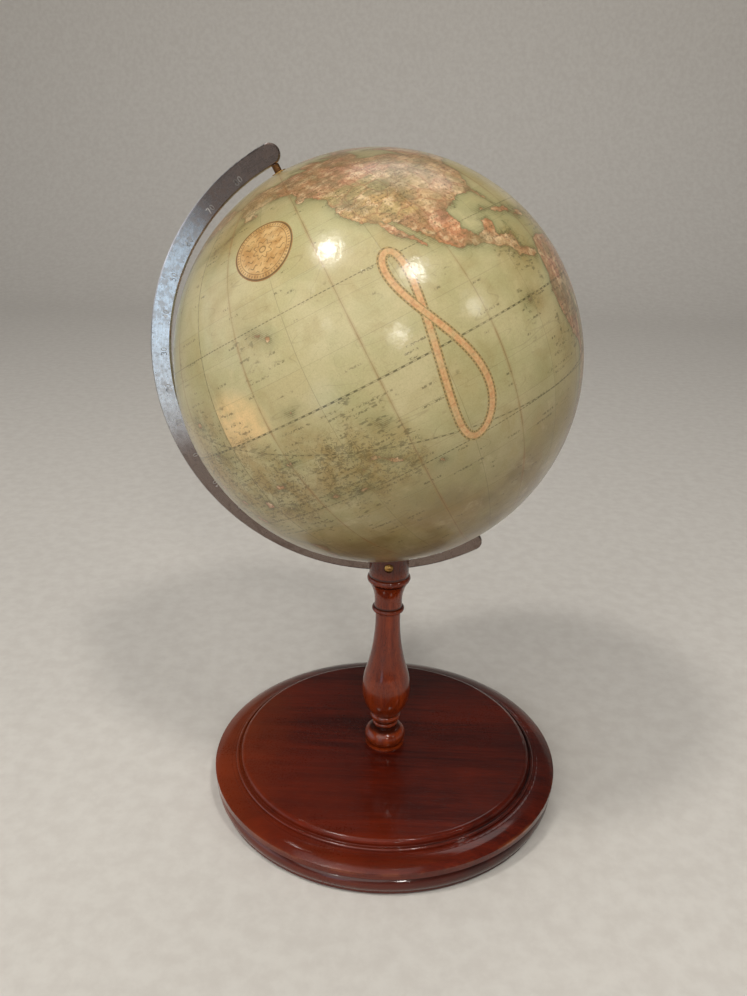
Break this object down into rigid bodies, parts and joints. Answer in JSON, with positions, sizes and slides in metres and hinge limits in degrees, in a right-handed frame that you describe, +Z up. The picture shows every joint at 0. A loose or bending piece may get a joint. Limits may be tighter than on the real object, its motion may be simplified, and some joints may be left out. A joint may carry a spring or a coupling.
{
  "type": "desktop globe on stand",
  "caption": "Antique terrestrial desk globe: papered sphere spinning on a tilted axis in a flat half-circle metal arm, held by a turned wooden pillar on a round moulded base.",
  "frame": {"origin": "middle of the underside of the base, on the table", "axes": "+Z up along the pillar; the meridian arm lies in the XZ plane and the north pole leans towards -X; -Y is the side the picture shows"},
  "size_m": [0.2243, 0.2032, 0.3543],
  "materials": {
    "mahogany_base": "french polished mahogany, dark red",
    "mahogany_pillar": "french polished mahogany, glossy",
    "baize": "green wool baize",
    "steel": "plain steel",
    "brass": "tarnished brass",
    "nickel": "worn nickel plate",
    "core_wood": "plain turned softwood",
    "papier_mache": "pressed paper pulp",
    "plaster": "smooth gesso",
    "map_paper": "aged printed paper under gloss varnish"
  },
  "bodies": {
    "stand": {"base_board": "mahogany_base", "baize_pad": "baize", "base_washer": "steel", "base_screw": "steel", "pillar": "mahogany_pillar", "arm_screw": "brass", "meridian_arm": "nickel", "north_pin": "steel", "south_pin": "steel", "north_collar": "brass", "south_collar": "brass"},
    "globe": {"core_post": "core_wood", "north_bush": "brass", "south_bush": "brass", "north_half_shell": "papier_mache", "south_half_shell": "papier_mache", "plaster_coat": "plaster", "north_calotte": "map_paper", "south_calotte": "map_paper", "gore_01": "map_paper", "gore_02": "map_paper", "gore_03": "map_paper", "gore_04": "map_paper", "gore_05": "map_paper", "gore_06": "map_paper", "gore_07": "map_paper", "gore_08": "map_paper", "gore_09": "map_paper", "gore_10": "map_paper", "gore_11": "map_paper", "gore_12": "map_paper"}
  },
  "joints": [
    {"name": "globe_spin", "type": "hinge", "parent": "stand", "child": "globe", "pos_m": [-0.0083, 0, 0.2518], "axis": [-0.4787, 0, 0.878], "continuous": true}
  ]
}
